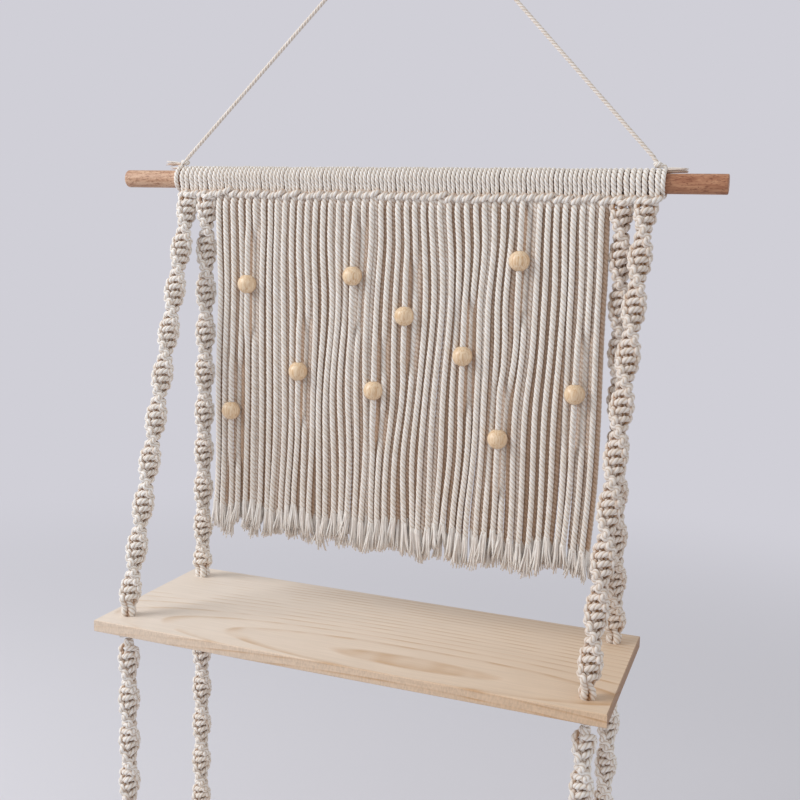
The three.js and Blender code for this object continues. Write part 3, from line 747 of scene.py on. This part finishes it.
def sennitCords(length):
    # One cord's crossing, turned half round for each next knot; the whole band turns as it goes down
    knotCount = int(round(length / sennit["pitch"]))
    pitch = length / knotCount
    crossing = np.array(sennit["crossing"]) * [1, 1, pitch / sennit["pitch"]]
    number = np.arange(knotCount)[:, None, None]
    flip = np.where(number % 2 == 0, 1, -1)
    rows = crossing[None] * np.concatenate([flip, flip, np.ones_like(flip)], axis=-1)
    rows = rows + number * np.array([0, 0, pitch])
    cords = [rows.reshape(-1, 3), rows.reshape(-1, 3) * [-1, -1, 1]]
    s = np.linspace(0, length, knotCount * sennit["fillerStations"] + 1)
    for side in (-1, 1):
        cords.append(np.stack([np.full(len(s), side * sennit["filler"]), np.zeros(len(s)), s], axis=-1))
    turned = []
    for cord in cords:
        cord = cord[(cord[:, 2] > -sennit["above"]) & (cord[:, 2] < length - sennit["short"])]
        phi = np.radians(sennit["turn"]) * cord[:, 2] / pitch
        u, w, s = cord.T
        turned.append(np.stack([u * np.cos(phi) + w * np.sin(phi), -u * np.sin(phi) + w * np.cos(phi), s], axis=-1))
    return turned


def alongLine(points, top, foot):
    # From (right, to the room, down) to the line between two places
    down = unit(foot - top)
    rightward = unit(np.array([1.0, 0, 0]) - down[0] * down)
    forward = np.cross(rightward, down)
    forward *= -np.sign(forward[1])
    return top + points[:, :1] * rightward + points[:, 1:2] * forward + points[:, 2:3] * down


def lineBetween(top, foot):
    # The nearest places on the rope's middle line, for the painted shade on the cords' inner sides
    down = unit(foot - top)
    return lambda places: top + ((places - top) @ down)[..., None] * down


def sennitParts(top, foot, starts, flare, tone=0.0, swell=0.0):
    # Four cords, knotted as far as the foot, where they part evenly; flare says how far out and how far down they go
    runs = [alongLine(cord, top, foot) for cord in sennitCords(np.linalg.norm(foot - top))]
    outs = [unit((run[-1] - foot)[:2]) for run in runs]
    across = np.array([-outs[0][1], outs[0][0]])
    outs = [outs[0], -outs[0], across * np.sign(across @ outs[2]), across * np.sign(across @ outs[3])]
    parts = []
    for run, above, out in zip(runs, starts, outs):
        below = np.array([[*(foot[:2] + out * reach), foot[2] + drop] for reach, drop in flare])
        path = smoothLine(np.vstack([above, run, below]), sennit["step"])
        radii = sennit["radius"] * (1 + swell * smoothStep(0, sennit["swellDrop"], foot[2] - path[:, 2]))
        parts.append(ropeTube(path, radii, tone, lead=sennit["lead"], heart=lineBetween(top, foot)))
    return parts


def hangSennit(node, parts, body):  # the rope as a piece
    ropePiece = makePiece(node + "_sennit", parts, cotton, body, [node])


corners = {"front_left": (-1, -1), "rear_left": (-1, 1), "rear_right": (1, 1), "front_right": (1, -1)}
upperRope = {
    "top": (-12.0, -18.0), "foot": 12.0, "swell": 0.25, "rightShade": 0.16,
    "starts": (-8.0, 8.0, -2.8, 2.8),  # each cord's X under the dowel, from the rope's middle
    "startPlaces": [(1.0, -8.0, -12.5), (0.8, -10.5, -15.5)],  # share of that X, Y and Z
    "flare": [(3.9, -3.5), (5.0, -8.0), (4.0, -11.4), (3.2, -15.0)],  # at the foot: out from the hole, and down
    "heads": (2.75, 11.5, 2.6, 1.0, 7),  # half width, reach, radius, squeeze and seed, as the row's
    "spineStations": 12, "spineStep": 4.0,
}
boardTops = {tier: topOf(tier + "_board") for tier in ("upper", "lower")}

for name, (side, depth) in corners.items():
    node = "upper_rope_" + name
    hole = middleOf("upper_knot_" + name)
    inner = 0 if depth > 0 else 2 * row["ropePitch"]
    middle = rowEnds[(side + 1) // 2] + side * (inner + row["ropePitch"])
    top = np.array([middle, *upperRope["top"]])
    foot = np.array([hole[0], hole[1], boardTops["upper"] + upperRope["foot"] + clearance])
    starts = [np.array([[middle + start * share, y, z] for share, y, z in upperRope["startPlaces"]])
              for start in upperRope["starts"]]
    # Painted shade: the ropes on the right, away from the light, are toned darker all over
    tone = upperRope["rightShade"] if side > 0 else 0.0
    hangSennit(node, sennitParts(top, foot, starts, upperRope["flare"], tone, upperRope["swell"]), "upper_shelf")
    places = middle + np.array([-0.5, 0.5]) * row["ropePitch"]
    makePiece(node + "_heads", headsAt(places, *upperRope["heads"]), cotton, "upper_shelf")
print("upper ropes made")

lowerRope = {
    "ends": 10.0, "spineStations": 20,  # ends: mm above and below the knotted part
    "startTurns": (0, np.pi, np.pi / 2, -np.pi / 2), "startPlaces": [(1.2, -2.4), (2.6, -6.0)],
    "flare": [(2.6, -4.0), (1.2, -7.6)],  # out from the hole's middle and down, as startPlaces
}
for name, (side, depth) in corners.items():
    node = "lower_rope_" + name
    hole = middleOf("upper_knot_" + name)
    topZ, footZ = topOf(node), footOf(node)
    top = np.array([hole[0], hole[1], topZ - lowerRope["ends"]])
    foot = np.array([hole[0], hole[1], footZ + lowerRope["ends"]])
    starts = []
    for turn in lowerRope["startTurns"]:
        out = np.array([np.cos(turn), np.sin(turn)])
        places = [[*(hole[:2] + out * reach), topZ + drop] for reach, drop in lowerRope["startPlaces"]]
        starts.append(np.array(places))
    hangSennit(node, sennitParts(top, foot, starts, lowerRope["flare"]),
               "lower_front_ropes" if depth < 0 else "lower_rear_ropes")
print("lower ropes made")

# Knots under the boards, with four cords up through each hole
stopper = {
    "across": 7.2, "tube": 2.35, "radius": 2.5, "height": 11.0, "board": 12.0, "lead": 13.0, "turn": 0.7,
    "through": 3.3, "throughRadius": 2.3, "throughEnds": (-0.4, 1.2),  # from the board's top, and the knot's foot
    "cords": 4, "stations": 9, "step": 1.6,
}

overhandKnot = {"stations": 90, "start": 0.01, "step": 1.2}


def overhand(middle, across, tube, radius, turn, lead):
    # A trefoil: twice about its middle while it goes three times round its own ring
    t = np.linspace(0, 4 * np.pi, overhandKnot["stations"]) + overhandKnot["start"]
    out = across + tube * np.cos(1.5 * t)
    wind = np.stack([out * np.cos(t + turn), out * np.sin(t + turn), tube * np.sin(1.5 * t)], axis=-1)
    path = smoothLine(wind, overhandKnot["step"]) + middle
    # The side that faces the knot's middle gets painted shade
    return ropeTube(path, radius, lead=lead, heart=lambda places: places * 0 + middle)


def stopperParts(hole, boardTop, turn):
    # An overhand knot up against the board, and four cords straight up from it, evenly round the hole's middle
    under = boardTop - stopper["board"] - clearance
    middle = np.array([hole[0], hole[1], under - stopper["height"] / 2])
    parts = [overhand(middle, stopper["across"], stopper["tube"], stopper["radius"], turn, stopper["lead"])]
    above, below = stopper["throughEnds"]
    z = np.linspace(boardTop + above, under - stopper["height"] + below, stopper["stations"])
    for i in range(stopper["cords"]):
        a = turn + (i + 0.5) * 2 * np.pi / stopper["cords"]
        x, y = hole[0] + stopper["through"] * np.cos(a), hole[1] + stopper["through"] * np.sin(a)
        path = smoothLine(np.stack([np.full(len(z), x), np.full(len(z), y), z], axis=-1), stopper["step"])
        parts.append(ropeTube(path, stopper["throughRadius"], lead=stopper["lead"], phase=a))
    return parts


for tier in ("upper", "lower"):
    for i, name in enumerate(corners):
        node = tier + "_knot_" + name
        parts = stopperParts(middleOf(node), boardTops[tier], stopper["turn"] + i)
        makePiece(node + "_tied", parts, cotton, tier + "_shelf", [node])

# Tassels under the lower knots: four strands each, further out at each quarter of the way down
tassel = {
    "strands": 4, "length": 60.0, "outs": [2.7, 3.6, 4.8, 6.0, 7.0], "wander": 0.5, "radius": 2.8, "fray": 16.0,
    "step": 1.6, "seed": 9,
}
tasselRng = np.random.default_rng(tassel["seed"])
for name in corners:
    node = "tassel_" + name
    top = middleOf(node)
    out = np.array(tassel["outs"])
    z = topOf(node) - np.linspace(0, tassel["length"], len(out))
    parts = []
    for i in range(tassel["strands"]):
        a = (i + 0.5) / tassel["strands"] * 2 * np.pi
        path = np.stack([top[0] + out * np.cos(a), top[1] + out * np.sin(a), z], axis=-1)
        path[1:, :2] += tasselRng.normal(0, tassel["wander"], (len(out) - 1, 2))
        path = smoothLine(path, tassel["step"])
        parts.append(ropeTube(path, tassel["radius"], phase=a))
        parts.append(frayedEnd(path[-1], tassel["radius"], tasselRng, tassel["fray"]))
    makePiece(node + "_frayed", parts, cotton, "lower_shelf", [node])
print("knots and tassels made")

# Hanger knots: a ring round the dowel, a neck, a small knot and the cord's cut end, combed out
hangerKnots = {
    "left": {"side": -1, "ringOut": 2.4, "ringRadius": 2.5, "across": 2.1, "height": 17.2, "lift": 16.0},
    "right": {"side": 1, "ringOut": -0.5, "ringRadius": 2.3, "across": 1.8, "height": 16.6, "lift": 11.6},
}
hangerShape = {
    "ringInside": 9.3, "ringLead": 12.0, "ringStations": 40, "ringStep": 1.3,
    "neckRise": 3, "neckRadius": 2.0, "neckUnder": 0.6, "neckShare": 0.4,  # share of the way over to the knot
    "step": 1.2,
    "tube": 1.2, "radius": 1.8, "turn": 0.5, "lead": 11.0,
    "leaves": [(2.2, 0.2, 3.2), (4.6, 0.5, 6.6)],  # the cord's way out of the knot: inwards, back and up
}
tail = {
    "radius": 0.7, "taper": 0.55, "lengthShares": (0.68, 1.06), "depth": 0.9, "wander": 0.5, "seed": 21,
    "together": 0.3, "risen": 0.35,  # how much of the depth they start with, and where on the way they are up
    "tone": 0.38, "topTone": -0.26,  # painted shade over the wisps, deeper on the lower yarns
    # Yarns, length, height, spread at the start and at the end of each tuft
    "left": [(12, 18.0, 0.4, 0.7, 2.4), (6, 13.0, -4.6, 0.7, 1.0)],
    "right": [(22, 18.3, 0.4, 2.1, 1.4)],
}


def wisp(start, side, tufts, rng):
    # Short cut ends, combed out: in each tuft the yarns start together and spread up, down and outward
    parts = []
    t = np.linspace(0, 1, fray["stations"])[None]
    for count, length, height, spread, ending in tufts:
        share = rng.permutation(np.linspace(-1, 1, count))[:, None]
        x = side * length * rng.uniform(*tail["lengthShares"], (count, 1)) * t
        y = rng.normal(0, tail["depth"], (count, 1)) * (tail["together"] + (1 - tail["together"]) * t)
        z = height * smoothStep(0, tail["risen"], t) + share * (spread + (ending - spread) * t)
        z = z + rng.normal(0, tail["wander"], (count, 1)) * t**2
        radii = tail["radius"] * (1 - tail["taper"] * t**1.5)
        # Painted shade, deeper on the lower yarns
        tone = tail["tone"] + tail["topTone"] * share[:, 0]
        parts.append(yarnTube(start + np.stack([x, y, z], axis=-1), radii, tone))
    return parts


tailRng = np.random.default_rng(tail["seed"])
for name, look in hangerKnots.items():
    side = look["side"]
    x = ringX[(side + 1) // 2] + side * look["ringOut"]
    knot = np.array([hangerKnotX[(side + 1) // 2], 0, look["height"]])
    a = np.linspace(0, 2 * np.pi, hangerShape["ringStations"])
    reach = hangerShape["ringInside"] + look["ringRadius"]
    ring = np.stack([np.full(len(a), x), reach * np.sin(a), reach * np.cos(a)], axis=-1)
    share, step = hangerShape["neckShare"], hangerShape["step"]
    neck = np.array([[x, 0, reach], [x, 0, reach + hangerShape["neckRise"]],
                     [x * (1 - share) + knot[0] * share, 0, knot[2] - hangerShape["neckUnder"]], knot])
    leaving = np.vstack([knot, knot + np.array(hangerShape["leaves"]) * [-side, 1, 1]])
    ring = smoothLine(ring, hangerShape["ringStep"])
    # The ring's side that faces the dowel gets painted shade
    parts = [ropeTube(ring, look["ringRadius"], lead=hangerShape["ringLead"], heart=dowelMiddle),
             overhand(knot, look["across"], *(hangerShape[key] for key in ("tube", "radius", "turn", "lead"))),
             ropeTube(smoothLine(neck, step), hangerShape["neckRadius"], lead=hanger["lead"]),
             ropeTube(smoothLine(leaving, step), hanger["diameter"] / 2, tone=hanger["tone"], lead=hanger["lead"])]
    parts += wisp(np.array([x + side, 0, look["lift"]]), side, tail[name], tailRng)
    makePiece("hanger_knot_" + name + "_tied", parts, cotton, "hanger", ["hanger_knot_" + name])
print("hanger knots made")

# The dowel, a rod with rounded edges; the boards are the CAD's own
dowel = {"length": 620.0, "radius": 9.0, "edge": 1.2, "edgeRows": 6, "sides": 64, "stations": 60}
arc = np.linspace(0, np.pi / 2, dowel["edgeRows"])
half = dowel["length"] / 2
endX = -half + dowel["edge"] * (1 - np.sin(arc))
endR = dowel["radius"] - dowel["edge"] * (1 - np.cos(arc))
straight = np.linspace(-half + dowel["edge"], half - dowel["edge"], dowel["stations"])[1:-1]
alongX = np.concatenate([endX[::-1], straight, -endX])
alongR = np.concatenate([endR[::-1], np.full(len(straight), dowel["radius"]), endR])[:, None]
angle = np.arange(dowel["sides"]) / dowel["sides"] * 2 * np.pi
rodX = np.repeat(alongX[:, None], dowel["sides"], 1)
points = np.stack([rodX, alongR * np.cos(angle), alongR * np.sin(angle)], axis=-1)
makePiece("dowel_turned", [{"points": points.reshape(-1, 3), "faces": tubeFaces(len(alongX), dowel["sides"], 1)}],
          beech, "hanger", ["dowel"])
for name in ("upper_board", "lower_board"):
    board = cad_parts[name]
    board.data.materials.clear()
    board.data.materials.append(pine)
print("dowel and boards made")

# Floor, background and lights
studio = {
    "background": "#D0CFD7", "world": 0.62,
    "floor": "#D6D5DC", "floorRoughness": 0.9, "floorSides": 64,
    "floorRadius": 6.0, "floorDrop": 0.05, "fade": (0.9, 2.6), "aim": (0, 0, -0.45),  # metres
    "key": {"place": (-1.85, -1.1, 0.75), "size": 1.4, "power": 40},
    "fill": {"place": (2.0, -1.6, 0.1), "size": 2.0, "power": 5},
}


def buildFloor():
    # A disc under the object, plain where the shadow falls and the background's own colour further out
    sides, radius = studio["floorSides"], studio["floorRadius"]
    angle = np.arange(sides) / sides * 2 * np.pi
    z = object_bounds()[0][2] - studio["floorDrop"]
    points = np.stack([radius * np.cos(angle), radius * np.sin(angle), np.full(sides, z)], axis=-1)
    mesh = bpy.data.meshes.new("floor")
    mesh.from_pydata(points.tolist(), [], [list(range(sides))])
    material, tree, shader = newMaterial("matt pale floor")
    setInputs(tree, shader, {"Base Color": linear(studio["floor"]), "Roughness": studio["floorRoughness"]})
    place = addNode(tree, "TexCoord")
    flat = addNode(tree, "VectorMath", {"operation": "MULTIPLY"}, {0: place.outputs["Object"], 1: (1, 1, 0)})
    away = addNode(tree, "VectorMath", {"operation": "LENGTH"}, {0: flat})
    fade = addNode(tree, "MapRange", {"interpolation_type": "SMOOTHSTEP"},
                   {"Value": away, "From Min": studio["fade"][0], "From Max": studio["fade"][1]})
    ray = addNode(tree, "LightPath")
    seen = addNode(tree, "Math", {"operation": "MULTIPLY"}, {0: fade, 1: ray.outputs["Is Camera Ray"]})
    glow = addNode(tree, "Emission", None, {"Color": linear(studio["background"]), "Strength": 1.0})
    mixed = addNode(tree, "MixShader", None, {0: seen, 1: shader, 2: glow})
    setInputs(tree, tree.nodes["Material Output"], {"Surface": mixed})
    mesh.materials.append(material)
    floor = bpy.data.objects.new("floor", mesh)
    bpy.context.scene.collection.objects.link(floor)


def buildWorld():
    # The camera and reflections see the background's colour, and everything else gets plain white light
    world = bpy.data.worlds.new("studio")
    bpy.context.scene.world = world
    world.use_nodes = True
    tree = world.node_tree
    tree.nodes.clear()
    ray = addNode(tree, "LightPath")
    seen = addNode(tree, "Math", {"operation": "MAXIMUM"},
                   {0: ray.outputs["Is Camera Ray"], 1: ray.outputs["Is Glossy Ray"]})
    light = addNode(tree, "Background", None, {"Color": (1, 1, 1, 1), "Strength": studio["world"]})
    backdrop = addNode(tree, "Background", None, {"Color": linear(studio["background"]), "Strength": 1.0})
    mixed = addNode(tree, "MixShader", None, {0: seen, 1: light, 2: backdrop})
    addNode(tree, "OutputWorld", None, {"Surface": mixed})


def softLamp(name):  # a round lamp that faces the aim
    lamp = studio[name]
    data = bpy.data.lights.new(name, "AREA")
    data.shape, data.size, data.energy = "DISK", lamp["size"], lamp["power"]
    light = bpy.data.objects.new(name, data)
    place = np.array(lamp["place"])
    aim = unit(np.array(studio["aim"]) - place)
    sideways = unit(np.cross(aim, [0, 0, 1.0]))
    light.matrix_world = facingMatrix(sideways, np.cross(sideways, aim), -aim, place)
    bpy.context.scene.collection.objects.link(light)


buildFloor()
buildWorld()
softLamp("key")
softLamp("fill")
bpy.context.scene.view_settings.view_transform = "Standard"
print("floor, background and lights made")
